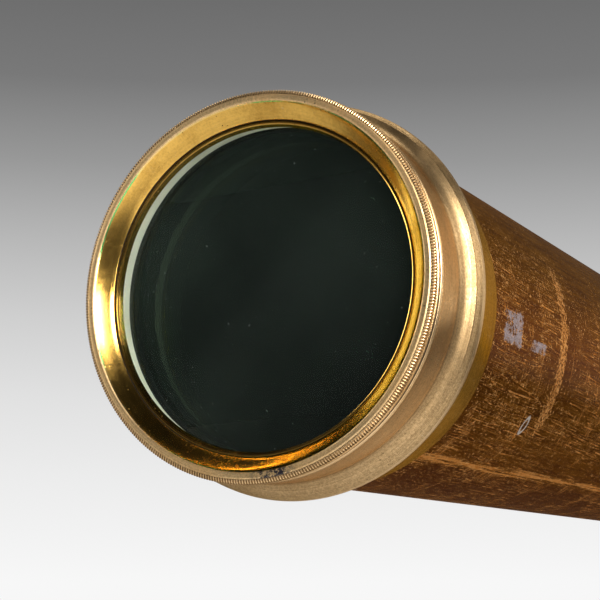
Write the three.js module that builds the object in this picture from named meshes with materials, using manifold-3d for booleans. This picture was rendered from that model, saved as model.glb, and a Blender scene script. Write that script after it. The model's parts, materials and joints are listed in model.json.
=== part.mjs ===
// A three inch brass refracting telescope with a terrestrial eyepiece.
// Millimetres. +X runs along the optical axis from the objective to the eyepiece and +Z is up. The origin is
// the centre of the flat underside of the mounting shoe, which the stand's clamp holds.
// Every turned piece is an outline of [s, r] points: s is the distance behind the crest of the objective
// cell's milled edge, and r is the distance from the optical axis.
import * as THREE from "three";
import { mergeVertices } from "three/addons/utils/BufferGeometryUtils.js";
import Module from "manifold-3d";

// Driving dimensions.
const SIDES = 30; // flats on a large turned piece
const SMALL_SIDES = 20; // flats on a shaft, knob or eyepiece piece
const SCREW_SIDES = 8;
const GAP = 0.3; // between pieces that touch on the real object

const MILLED_R = 46.4; // crest of the cell's milled edge
const APERTURE_R = 38.7; // clear aperture, 77 mm
const LENS_R = 39.6;
const FOCAL_LENGTH = 762; // thirty inches

const TUBE_R = 44.45; // a three and a half inch tube
const TUBE_WALL = 1.5;
const TUBE_FRONT = 26.1;
const TUBE_REAR = 716.1;
const TUBE_BORE = TUBE_R - TUBE_WALL;
const SPIGOT_R = TUBE_BORE - GAP; // what fits inside the tube
const BEAD_R = 49.13; // crest of the beads at both ends of the tube

const SHOE_S = 500; // middle of the shoe, at the point of balance
const SHOE_LENGTH = 100;
const SHOE_HEIGHT = 16;
const SHOE_BASE = 36;
const SHOE_NECK = 30;
const SADDLE_R = TUBE_R + GAP;
const SADDLE_THICK = 3;
const SADDLE_LENGTH = 130;
const SADDLE_HALF_WIDTH = 28;
const SADDLE_SCREW_ANGLE = THREE.MathUtils.degToRad(27);
const SADDLE_SCREW_REACH = 54; // from the saddle's middle to its screws
const SHOE_TOP_R = SADDLE_R + SADDLE_THICK + GAP;
const AXIS_Z = SHOE_HEIGHT + SHOE_TOP_R;

const JACKET_R = 33.5; // the focuser's fixed barrel
const JACKET_BORE = 31.5;
const JACKET_FRONT = 748.6;
const JACKET_REAR = 832;
const DRAW_R = 27;
const DRAW_WALL = 1.2;
const DRAW_FRONT = 738;
const DRAW_REAR = 878;
const DRAW_RING_REAR = 886;
const ERECTOR_R = 18;
const ERECTOR_WALL = 1;
const ERECTOR_FRONT = 780;
const ERECTOR_REAR = 911;
const ERECTOR_RING_REAR = 916;
const EYEPIECE_R = 14.5;
const EYEPIECE_FRONT = 884;
const EYEPIECE_REAR = 936;
const CUP_FRONT = 917;
const CUP_REAR = 948;
const CUP_R = 21.5;

const PINION_S = 790;
const MODULE = 0.8;
const PINION_TEETH = 14;
const PINION_PITCH_R = (MODULE * PINION_TEETH) / 2;
const ADDENDUM = 0.65;
const DEDENDUM = 0.95;
const TOOTH_HALF = 0.5; // half a tooth's thickness on the pitch line, which leaves backlash
const FLANK = Math.tan(THREE.MathUtils.degToRad(20));
const RACK_PITCH_Z = -29.6; // the rack's pitch line, from the optical axis
const RACK_TOP_Z = -(DRAW_R + GAP);
const RACK_HALF_WIDTH = 3;
const RACK_FRONT_TEETH = 19; // teeth ahead of the pinion at rest
const RACK_REAR_TEETH = 13;
const PINION_Z = RACK_PITCH_Z - PINION_PITCH_R;
const SHAFT_R = 2.5;
const KNOB_R = 14;
const KNOB_HUB_Y = 22.8;
const KNOB_INNER_Y = 34.5;
const KNOB_OUTER_Y = 45;
const HOUSING_HALF_LENGTH = 14;
const HOUSING_HALF_WIDTH = 22;
const HOUSING_BOTTOM_Z = -45;

const SHUTTER_PIVOT = 13; // from the optical axis
const SHUTTER_R = 6.2;
const PLATE_FRONT = CUP_REAR + GAP;
const PLATE_THICK = 1.4;

// Materials.
const metal = (color, roughness) => new THREE.MeshStandardMaterial({ color, roughness, metalness: 1 });
const lacqueredBrass = metal(0xc99a4a, 0.3);
const polishedBrass = metal(0xe0b050, 0.12);
const bronzedBrass = metal(0x4a2f1a, 0.42);
const blackenedBrass = metal(0x12110f, 0.85);
const steel = metal(0x6f6f72, 0.35);
const glass = new THREE.MeshStandardMaterial({
  color: 0xdfeee6, roughness: 0.02, transparent: true, opacity: 0.35,
});

// Booleans.
const wasm = await Module();
wasm.setup();

function solidOf(geometry) {
  const bare = geometry.clone();
  bare.deleteAttribute("normal");
  bare.deleteAttribute("uv");
  const merged = mergeVertices(bare, 1e-4);
  return new wasm.Manifold(
    new wasm.Mesh({
      numProp: 3,
      vertProperties: merged.attributes.position.array,
      triVerts: new Uint32Array(merged.index.array),
    }),
  );
}

function geometryOf(solid) {
  const { vertProperties, triVerts } = solid.getMesh();
  const made = new THREE.BufferGeometry();
  made.setAttribute("position", new THREE.BufferAttribute(new Float32Array(vertProperties), 3));
  made.setIndex(new THREE.BufferAttribute(new Uint32Array(triVerts), 1));
  made.computeVertexNormals();
  return made;
}

const cut = (body, ...tools) =>
  geometryOf(tools.reduce((left, tool) => left.subtract(solidOf(tool)), solidOf(body)));
const join = (body, ...more) =>
  geometryOf(more.reduce((sum, piece) => sum.add(solidOf(piece)), solidOf(body)));
const common = (body, other) => geometryOf(solidOf(body).intersect(solidOf(other)));

// Shapes. Positions are [s, y, z] from the optical axis.
/** A closed [s, r] outline turned about the optical axis. */
function turned(outline, sides = SIDES) {
  const points = outline.map(([s, r]) => new THREE.Vector2(r, s));
  if (THREE.ShapeUtils.area(points) < 0) points.reverse();
  if (points[0].x > 0) points.push(points[0].clone());
  return new THREE.LatheGeometry(points, sides).rotateZ(-Math.PI / 2);
}

/** A plain tube between two stations. */
const tube = (front, rear, inner, outer, sides) =>
  turned([[front, inner], [front, outer], [rear, outer], [rear, inner]], sides);

function block(size, [s, y, z]) {
  return new THREE.BoxGeometry(...size).translate(s, y, z);
}

/** A closed [y, r] outline turned about a cross axis that runs along Y through the pinion's centre. */
function turnedAcross(outline, sides = SMALL_SIDES) {
  const points = outline.map(([y, r]) => new THREE.Vector2(r, y));
  if (THREE.ShapeUtils.area(points) < 0) points.reverse();
  if (points[0].x > 0) points.push(points[0].clone());
  return new THREE.LatheGeometry(points, sides).translate(PINION_S, 0, PINION_Z);
}

/** A round bar along X, Y or Z, centred on a point. */
function bar(axis, r, length, [s, y, z], sides = SCREW_SIDES) {
  const made = new THREE.CylinderGeometry(r, r, length, sides);
  if (axis === "x") made.rotateZ(-Math.PI / 2);
  if (axis === "z") made.rotateX(Math.PI / 2);
  return made.translate(s, y, z);
}

/** A round-headed slotted screw that points down along -Z, with the underside of its head at the origin. */
function screw(headR, headHeight, shankR, shankLength) {
  const outline = [
    [-shankLength, 0], [-shankLength, shankR], [0, shankR], [0, headR],
    [headHeight * 0.6, headR], [headHeight, headR * 0.7], [headHeight, 0],
  ];
  const points = outline.map(([z, r]) => new THREE.Vector2(r, z));
  const body = new THREE.LatheGeometry(points, SCREW_SIDES).rotateX(Math.PI / 2);
  const slot = new THREE.BoxGeometry(headR * 2.4, headR * 0.28, headHeight).translate(0, 0, headHeight);
  return cut(body, slot);
}

/** A lens. Each face is the station of its edge and how far its middle stands back from there. */
function lens(edgeFront, bulgeFront, edgeRear, bulgeRear, radius, sides, steps = 2) {
  const face = (edge, bulge) =>
    Array.from({ length: steps + 1 }, (_, i) => {
      const r = (radius * i) / steps;
      return [edge + bulge * (1 - (r / radius) ** 2), r];
    });
  return turned([...face(edgeFront, bulgeFront), ...face(edgeRear, bulgeRear).reverse()], sides);
}

const telescope = new THREE.Group();
telescope.position.set(-SHOE_S, 0, AXIS_Z);

function add(name, geometry, material) {
  const mesh = new THREE.Mesh(geometry, material);
  mesh.name = name;
  telescope.add(mesh);
  return mesh;
}

// The objective: a doublet in a cell whose milled flange stands in front of the collar.
function addObjective() {
  const seat = 21.1; // front of the cell's rear shoulder
  add("objective_cell", turned([
    [-0.6, 43.9], [-0.6, 45.2], [-0.2, 46], [0.2, MILLED_R], [1, MILLED_R], [1.5, 46], [3.7, 45.9],
    [3.7, 42.6], [22.6, 42.6], [22.6, 38.4], [seat, 38.4], [seat, LENS_R + 0.4], [3.1, LENS_R + 0.4],
    [1.6, 41.1], [0.4, 42.4],
  ]), polishedBrass);
  add("lens_retaining_ring", turned([
    [3.4, 39.7], [3.4, 39.2], [4, 38.9], [5.3, APERTURE_R], [5.3, 39.7],
  ]), polishedBrass);
  add("crown_lens", lens(5.6, -1.7, 12.8, 2.3, LENS_R, SIDES), glass);
  add("lens_spacer_ring", tube(13.1, 13.6, 38.6, LENS_R), blackenedBrass);
  add("flint_lens", lens(13.9, 2.3, 20.8, -0.5, LENS_R, SIDES), glass);
  add("objective_collar", turned([
    [4, 42.9], [4, 45.8], [6.8, 45.8], [7.4, 45.5], [15.8, 45.9], [18.5, 46.6], [20, 47.6], [20.2, 48],
    [22, 48.9], [23.2, BEAD_R], [25, 48.4], [25.8, 46.6], [25.8, SPIGOT_R], [44, SPIGOT_R], [44, 41.2],
    [22.9, 41.2], [22.9, 42.9],
  ]), lacqueredBrass);
}

// The body tube with its blackened stops, each sprung in on a short sleeve and opened to clear the light.
function addBody() {
  const screwStations = [-SADDLE_SCREW_REACH, SADDLE_SCREW_REACH].map((reach) => SHOE_S + reach);
  const screwAngles = [-SADDLE_SCREW_ANGLE, SADDLE_SCREW_ANGLE];
  const drills = screwStations.flatMap((s) =>
    screwAngles.map((angle) => bar("z", 1.9, 12, [0, 0, -TUBE_R]).rotateX(angle).translate(s, 0, 0)));
  add("main_tube", cut(tube(TUBE_FRONT, TUBE_REAR, TUBE_BORE, TUBE_R), ...drills), bronzedBrass);

  const saddle = common(
    tube(SHOE_S - SADDLE_LENGTH / 2, SHOE_S + SADDLE_LENGTH / 2, SADDLE_R, SADDLE_R + SADDLE_THICK),
    block([SADDLE_LENGTH + 2, 2 * SADDLE_HALF_WIDTH, 30], [SHOE_S, 0, -SADDLE_R - 5]),
  );
  const capHoles = [-35, 35].map((reach) => bar("z", 2.4, 12, [SHOE_S + reach, 0, -SADDLE_R]));
  add("saddle_plate", cut(saddle, ...drills, ...capHoles), lacqueredBrass);
  let number = 1;
  for (const s of screwStations) {
    for (const angle of screwAngles) {
      const mesh = add(`saddle_screw_${number++}`, screw(3.6, 1.6, 1.6, 4.4), lacqueredBrass);
      mesh.rotation.x = Math.PI + angle;
      mesh.position.set(s, 0, 0).add(
        new THREE.Vector3(0, 0, SADDLE_R + SADDLE_THICK + GAP).applyEuler(mesh.rotation));
    }
  }
  const apertureAt = (s) => APERTURE_R * (1 - s / FOCAL_LENGTH) + 4;
  [190, 360, 600].forEach((s, i) => {
    add(`stop_ring_${i + 1}`, turned([
      [s, apertureAt(s)], [s, TUBE_BORE - GAP], [s + 12, TUBE_BORE - GAP], [s + 12, TUBE_BORE - 1.5],
      [s + 1.5, TUBE_BORE - 1.5], [s + 1.5, apertureAt(s)],
    ]), blackenedBrass);
  });
}

// The dovetail shoe under the saddle, held by two cap screws let into its underside.
function addShoe() {
  const top = SHOE_HEIGHT + 6;
  const section = new THREE.Shape([
    [-SHOE_BASE / 2, 0], [SHOE_BASE / 2, 0], [SHOE_BASE / 2, 3], [SHOE_NECK / 2, 9], [SHOE_NECK / 2, top],
    [-SHOE_NECK / 2, top], [-SHOE_NECK / 2, 9], [-SHOE_BASE / 2, 3],
  ].map(([y, z]) => new THREE.Vector2(y, z)));
  const stock = new THREE.ExtrudeGeometry(section, { depth: SHOE_LENGTH, bevelEnabled: false })
    .rotateX(Math.PI / 2).rotateZ(Math.PI / 2) // the section stands up, across the optical axis
    .translate(SHOE_S - SHOE_LENGTH / 2, 0, -AXIS_Z);
  const bed = bar("x", SHOE_TOP_R, SHOE_LENGTH + 2, [SHOE_S, 0, 0], SIDES);
  const stations = [-35, 35].map((reach) => SHOE_S + reach);
  const counterbores = stations.map((s) => bar("z", 4.3, 12, [s, 0, -AXIS_Z], SMALL_SIDES));
  const clearances = stations.map((s) => bar("z", 2.4, 40, [s, 0, -AXIS_Z + 10]));
  add("mounting_shoe", cut(stock, bed, ...counterbores, ...clearances), lacqueredBrass);
  stations.forEach((s, i) => {
    const mesh = add(`shoe_screw_${i + 1}`, screw(4, 3.5, 2, 13), steel);
    mesh.rotation.x = Math.PI;
    mesh.position.set(s, 0, -AXIS_Z + 6 - GAP);
  });
}

// The tail: an end ring with the same bead as the front, a cone, and the focuser's fixed barrel.
function addTail() {
  const shoulder = TUBE_REAR + GAP;
  add("tail_collar", turned([
    [698, 41.2], [698, SPIGOT_R], [shoulder, SPIGOT_R], [shoulder, 46.6], [shoulder + 0.8, 48.4],
    [shoulder + 2.6, BEAD_R], [shoulder + 3.8, 48.9], [shoulder + 5.6, 48], [shoulder + 5.8, 46.4],
    [shoulder + 8, 45.6], [728, 45.6], [728, 41.2],
  ]), lacqueredBrass);
  add("tail_cone", turned([
    [716, 39.4], [716, 40.9], [728.3, 40.9], [728.3, 44.6], [731, 44.6], [733, 43.6], [738, 40.4],
    [744, 37.8], [750, 36.6], [757, 36.6], [757, JACKET_R + GAP], [JACKET_FRONT - GAP, JACKET_R + GAP],
    [JACKET_FRONT - GAP, JACKET_BORE], [742, 33.6], [732, 38.6],
  ]), lacqueredBrass);
  const window = block([18, 18, 12], [PINION_S, 0, -JACKET_R]);
  add("focuser_jacket", cut(tube(JACKET_FRONT, JACKET_REAR, JACKET_BORE, JACKET_R), window), lacqueredBrass);

  const notch = (s, length) => block([length, 2 * RACK_HALF_WIDTH + 1.2, 14], [s, 0, RACK_PITCH_Z + 2]);
  const bearing = (front, rear) =>
    cut(tube(front, rear, DRAW_R + GAP, JACKET_BORE - GAP), notch((front + rear) / 2, rear - front + 2));
  add("front_bearing", bearing(758, 770), blackenedBrass);
  add("rear_bearing", bearing(812, 828), blackenedBrass);
  add("jacket_end_ring", cut(turned([
    [824, JACKET_R + GAP], [824, 35.4], [825.5, 36.4], [829, 36.4], [830.5, 35.2], [835, 34.6], [836.5, 33.6],
    [836.5, DRAW_R + GAP], [JACKET_REAR + GAP, DRAW_R + GAP], [JACKET_REAR + GAP, JACKET_R + GAP],
  ]), block([8, 2 * RACK_HALF_WIDTH + 1.2, 5.6], [835, 0, RACK_PITCH_Z + 1.4])), lacqueredBrass);
}

// The focusing pinion, the split block that carries it under the jacket, and its two milled heads.
function gearOutline() {
  const outline = new THREE.Shape();
  const place = (angle, r, offset) =>
    [r * Math.sin(angle) + offset * Math.cos(angle), r * Math.cos(angle) - offset * Math.sin(angle)];
  const corners = [
    [PINION_PITCH_R - DEDENDUM, -(TOOTH_HALF + DEDENDUM * FLANK)],
    [PINION_PITCH_R + ADDENDUM, -(TOOTH_HALF - ADDENDUM * FLANK)],
    [PINION_PITCH_R + ADDENDUM, TOOTH_HALF - ADDENDUM * FLANK],
    [PINION_PITCH_R - DEDENDUM, TOOTH_HALF + DEDENDUM * FLANK],
  ];
  for (let tooth = 0; tooth < PINION_TEETH; tooth++) {
    for (const [r, offset] of corners) {
      const [x, y] = place((2 * Math.PI * tooth) / PINION_TEETH, r, offset);
      if (outline.curves.length || outline.currentPoint.lengthSq()) outline.lineTo(x, y);
      else outline.moveTo(x, y);
    }
  }
  return outline;
}

function addFocuser() {
  const faceWidth = 6;
  const gear = new THREE.ExtrudeGeometry(gearOutline(), { depth: faceWidth, bevelEnabled: false })
    .translate(0, 0, -faceWidth / 2).rotateX(Math.PI / 2).translate(PINION_S, 0, PINION_Z);
  const end = KNOB_OUTER_Y - 1;
  const shaft = turnedAcross([
    [-end, 1.3], [-end, SHAFT_R], [end, SHAFT_R], [end, 1.3],
    [end - 6, 1.3], [end - 6, 0], [6 - end, 0], [6 - end, 1.3],
  ]);
  add("pinion_shaft", join(gear, shaft), steel);

  const split = PINION_Z + GAP / 2;
  const upper = block(
    [2 * HOUSING_HALF_LENGTH, 2 * HOUSING_HALF_WIDTH, 20],
    [PINION_S, 0, split + 10]);
  const lowerHeight = split - GAP - HOUSING_BOTTOM_Z;
  const lower = block(
    [2 * HOUSING_HALF_LENGTH, 2 * HOUSING_HALF_WIDTH, lowerHeight],
    [PINION_S, 0, HOUSING_BOTTOM_Z + lowerHeight / 2]);
  const seat = bar("x", JACKET_R + GAP, 40, [PINION_S, 0, 0], SIDES);
  const shaftBore = bar("y", SHAFT_R + GAP, 3 * HOUSING_HALF_WIDTH, [PINION_S, 0, PINION_Z], SMALL_SIDES);
  const gearRoom = bar("y", 7.3, 7.2, [PINION_S, 0, PINION_Z], SMALL_SIDES);
  const corners = [-1, 1].flatMap((i) => [-1, 1].map((j) => [PINION_S + i * 10.5, j * 18]));
  const tapped = corners.map(([s, y]) => bar("z", 1.4, 26, [s, y, HOUSING_BOTTOM_Z]));
  add("pinion_housing", cut(upper, seat, shaftBore, gearRoom, ...tapped), lacqueredBrass);
  add("pinion_cap", cut(lower, shaftBore, gearRoom, ...tapped), lacqueredBrass);
  corners.forEach(([s, y], i) => {
    const mesh = add(`cap_screw_${i + 1}`, screw(2.6, 1.3, 1.1, 11.5), lacqueredBrass);
    mesh.rotation.x = Math.PI;
    mesh.position.set(s, y, HOUSING_BOTTOM_Z - GAP);
  });

  for (const [side, sign] of [["left", 1], ["right", -1]]) {
    add(`focus_knob_${side}`, turnedAcross([
      [sign * KNOB_HUB_Y, SHAFT_R + GAP], [sign * KNOB_HUB_Y, 5.6], [sign * (KNOB_INNER_Y - 1), 6.4],
      [sign * KNOB_INNER_Y, KNOB_R - 1], [sign * (KNOB_INNER_Y + 0.7), KNOB_R],
      [sign * (KNOB_OUTER_Y - 1.7), KNOB_R], [sign * (KNOB_OUTER_Y - 1), KNOB_R - 1],
      [sign * KNOB_OUTER_Y, KNOB_R - 3.5], [sign * (KNOB_OUTER_Y - 0.8), 5.5],
      [sign * (KNOB_OUTER_Y - 0.8), SHAFT_R + GAP],
    ], SMALL_SIDES), lacqueredBrass);
    const mesh = add(`knob_screw_${side}`, screw(4.4, 1.5, 1, 5), steel);
    mesh.rotation.x = sign > 0 ? -Math.PI / 2 : Math.PI / 2;
    mesh.position.set(PINION_S, sign * (KNOB_OUTER_Y - 0.8 + GAP), PINION_Z);
  }
}

// The draw tube with its rack soldered underneath, and the milled ring at its end.
function rackOutline() {
  const pitch = Math.PI * MODULE;
  const root = RACK_PITCH_Z + DEDENDUM;
  const tip = RACK_PITCH_Z - ADDENDUM;
  const first = -RACK_FRONT_TEETH * pitch;
  const outline = new THREE.Shape();
  outline.moveTo(first, RACK_TOP_Z);
  outline.lineTo(first, root);
  for (let tooth = -RACK_FRONT_TEETH; tooth < RACK_REAR_TEETH; tooth++) {
    const middle = (tooth + 0.5) * pitch;
    outline.lineTo(middle - TOOTH_HALF - DEDENDUM * FLANK, root);
    outline.lineTo(middle - TOOTH_HALF + ADDENDUM * FLANK, tip);
    outline.lineTo(middle + TOOTH_HALF - ADDENDUM * FLANK, tip);
    outline.lineTo(middle + TOOTH_HALF + DEDENDUM * FLANK, root);
  }
  outline.lineTo(RACK_REAR_TEETH * pitch, root);
  outline.lineTo(RACK_REAR_TEETH * pitch, RACK_TOP_Z);
  return outline;
}

function addDraw() {
  add("draw_tube", tube(DRAW_FRONT, DRAW_REAR, DRAW_R - DRAW_WALL, DRAW_R), polishedBrass);
  const width = 2 * RACK_HALF_WIDTH;
  add("focus_rack", new THREE.ExtrudeGeometry(rackOutline(), { depth: width, bevelEnabled: false })
    .translate(0, 0, -width / 2).rotateX(Math.PI / 2).translate(PINION_S, 0, 0), lacqueredBrass);
  add("draw_ring", turned([
    [874, DRAW_R + GAP], [874, 29.6], [875, 30.6], [881, 30.6], [882, 29.6],
    [884.5, 28], [DRAW_RING_REAR, 26],
    [DRAW_RING_REAR, ERECTOR_R + GAP], [862, ERECTOR_R + GAP], [862, 20.4], [DRAW_REAR + GAP, 20.4],
    [DRAW_REAR + GAP, DRAW_R + GAP],
  ]), lacqueredBrass);
}

// The erecting tube: two lenses with a small stop between them, which turn the image the right way up.
function addErector() {
  const bore = ERECTOR_R - ERECTOR_WALL;
  add("erector_tube", tube(ERECTOR_FRONT, ERECTOR_REAR, bore, ERECTOR_R, SMALL_SIDES), polishedBrass);
  const cell = (front) => turned([
    [front, 10.5], [front, bore - GAP], [front + 12, bore - GAP],
    [front + 12, 12.3], [front + 2, 12.3], [front + 2, 10.5],
  ], SMALL_SIDES);
  add("erector_cell_front", cell(782), blackenedBrass);
  add("erector_lens_front", lens(784.4, 0, 787, 1.6, 12, SMALL_SIDES), glass);
  add("erector_stop", tube(824, 825.5, 2.5, bore - GAP, SMALL_SIDES), blackenedBrass);
  add("erector_cell_rear", cell(854), blackenedBrass);
  add("erector_lens_rear", lens(858, -1.6, 860.6, 0, 12, SMALL_SIDES), glass);
  add("erector_ring", turned([
    [907, ERECTOR_R + GAP], [907, 20.4], [907.8, 21.2], [912.5, 21.2], [913.3, 20.4], [ERECTOR_RING_REAR, 19],
    [ERECTOR_RING_REAR, EYEPIECE_R + GAP], [899, EYEPIECE_R + GAP], [899, 16.6], [ERECTOR_REAR + GAP, 16.6],
    [ERECTOR_REAR + GAP, ERECTOR_R + GAP],
  ], SMALL_SIDES), lacqueredBrass);
}

// The eyepiece pushes into the erecting tube, and a swinging plate shuts its eye hole.
function shutterOutline() {
  const outline = new THREE.Shape();
  outline.absarc(0, 0, SHUTTER_R, Math.PI / 6, (11 * Math.PI) / 6, false);
  outline.absarc(SHUTTER_PIVOT, 0, 3.6, -Math.PI / 2, Math.PI / 2, false);
  outline.closePath();
  const hole = new THREE.Path();
  hole.absarc(SHUTTER_PIVOT, 0, 1.6, 0, 2 * Math.PI, true);
  outline.holes.push(hole);
  return outline;
}

function addEyepiece() {
  const bore = EYEPIECE_R - 1;
  add("eyepiece_tube", tube(EYEPIECE_FRONT, EYEPIECE_REAR, bore, EYEPIECE_R, SMALL_SIDES), lacqueredBrass);
  add("field_lens", lens(888, -2.4, 890.2, 0, bore - GAP, SMALL_SIDES), glass);
  add("field_stop", tube(908, 909.2, 8, bore - GAP, SMALL_SIDES), blackenedBrass);
  add("eye_lens_ring", tube(932, EYEPIECE_REAR - 0.4, 5.5, bore - GAP, SMALL_SIDES), blackenedBrass);
  add("eye_lens", lens(EYEPIECE_REAR + 0.6, -1.5, EYEPIECE_REAR + 2.6, 0, 7.2, SMALL_SIDES), glass);
  const cup = turned([
    [CUP_FRONT, EYEPIECE_R + GAP], [CUP_FRONT, 17.4], [CUP_FRONT + 2, 18.6], [CUP_FRONT + 5, 18.6],
    [CUP_FRONT + 10, 17.2], [CUP_FRONT + 18, 17.6], [CUP_REAR - 5, 20.4], [CUP_REAR - 1.5, CUP_R],
    [CUP_REAR, CUP_R - 0.6], [CUP_REAR, 4.5], [EYEPIECE_REAR + 3, 4.5], [EYEPIECE_REAR + 3, 7.5],
    [EYEPIECE_REAR + GAP, 7.5], [EYEPIECE_REAR + GAP, EYEPIECE_R + GAP],
  ], SMALL_SIDES);
  add("eye_cup", cut(cup, bar("x", 1.6, 10, [CUP_REAR, SHUTTER_PIVOT, 0])), lacqueredBrass);
  const pivotScrew = add("shutter_screw", screw(2.8, 1.3, 1.2, PLATE_THICK + 5), steel);
  pivotScrew.rotation.y = Math.PI / 2;
  pivotScrew.position.set(PLATE_FRONT + PLATE_THICK + GAP, SHUTTER_PIVOT, 0);

  add("shutter_plate", new THREE.ExtrudeGeometry(shutterOutline(), {
    depth: PLATE_THICK, bevelEnabled: false, curveSegments: 8,
  }).rotateX(Math.PI / 2).rotateZ(Math.PI / 2).translate(PLATE_FRONT, 0, 0), lacqueredBrass);
  add("shutter_knob", turned([
    [0, 0], [0, 1.4], [1.6, 1.2], [2.2, 2.1], [3.4, 2.1], [3.8, 1.4], [3.8, 0],
  ].map(([s, r]) => [s + PLATE_FRONT + PLATE_THICK + GAP, r]), SCREW_SIDES), lacqueredBrass);
}

addObjective();
addBody();
addShoe();
addTail();
addFocuser();
addDraw();
addErector();
addEyepiece();

const model = new THREE.Group();
model.add(telescope);
export default model;
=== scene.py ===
"""The looks of a three inch brass refracting telescope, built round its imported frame."""

import json
import math

import bmesh
import bpy
from mathutils import Matrix, Vector

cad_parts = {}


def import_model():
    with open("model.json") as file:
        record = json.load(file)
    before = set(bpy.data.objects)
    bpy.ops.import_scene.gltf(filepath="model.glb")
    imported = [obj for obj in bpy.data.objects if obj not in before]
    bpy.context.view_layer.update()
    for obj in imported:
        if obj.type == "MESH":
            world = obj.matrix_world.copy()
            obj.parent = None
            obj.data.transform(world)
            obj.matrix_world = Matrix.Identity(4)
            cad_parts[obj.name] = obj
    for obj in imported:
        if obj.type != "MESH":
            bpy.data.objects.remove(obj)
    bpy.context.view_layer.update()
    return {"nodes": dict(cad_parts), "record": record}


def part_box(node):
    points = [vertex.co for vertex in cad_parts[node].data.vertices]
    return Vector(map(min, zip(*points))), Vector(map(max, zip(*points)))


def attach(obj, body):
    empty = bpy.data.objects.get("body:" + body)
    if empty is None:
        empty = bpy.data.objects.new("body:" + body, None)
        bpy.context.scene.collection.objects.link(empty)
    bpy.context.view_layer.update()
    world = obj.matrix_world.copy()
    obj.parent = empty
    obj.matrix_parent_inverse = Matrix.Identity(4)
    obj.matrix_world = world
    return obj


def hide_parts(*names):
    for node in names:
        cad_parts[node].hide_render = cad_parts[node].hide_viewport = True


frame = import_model()
MM = 0.001

# Places, from the frame. s is the distance in millimetres behind the crest of the objective cell's milled
# edge, and r the distance from the optical axis. The crest stands CREST_SETBACK behind the cell's front.
cell_low, cell_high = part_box("objective_cell")
AXIS = Vector((0, (cell_low.y + cell_high.y) / 2, (cell_low.z + cell_high.z) / 2))
CREST_R = (cell_high.z - cell_low.z) / 2 / MM
CREST_SETBACK = 0.6
S_ORIGIN = cell_low.x + CREST_SETBACK * MM
TUBE_R = 44.45
APERTURE_R = 38.7
GAP = 0.3
MILLED_RIDGES = 414
SHARP = 32.0
TINY = 1e-6


def station(node, end):
    """The s of a node's front (0) or rear (1) end."""
    return (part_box(node)[end].x - S_ORIGIN) / MM


def radius(node):
    low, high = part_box(node)
    return (high.z - low.z) / 2 / MM


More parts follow.
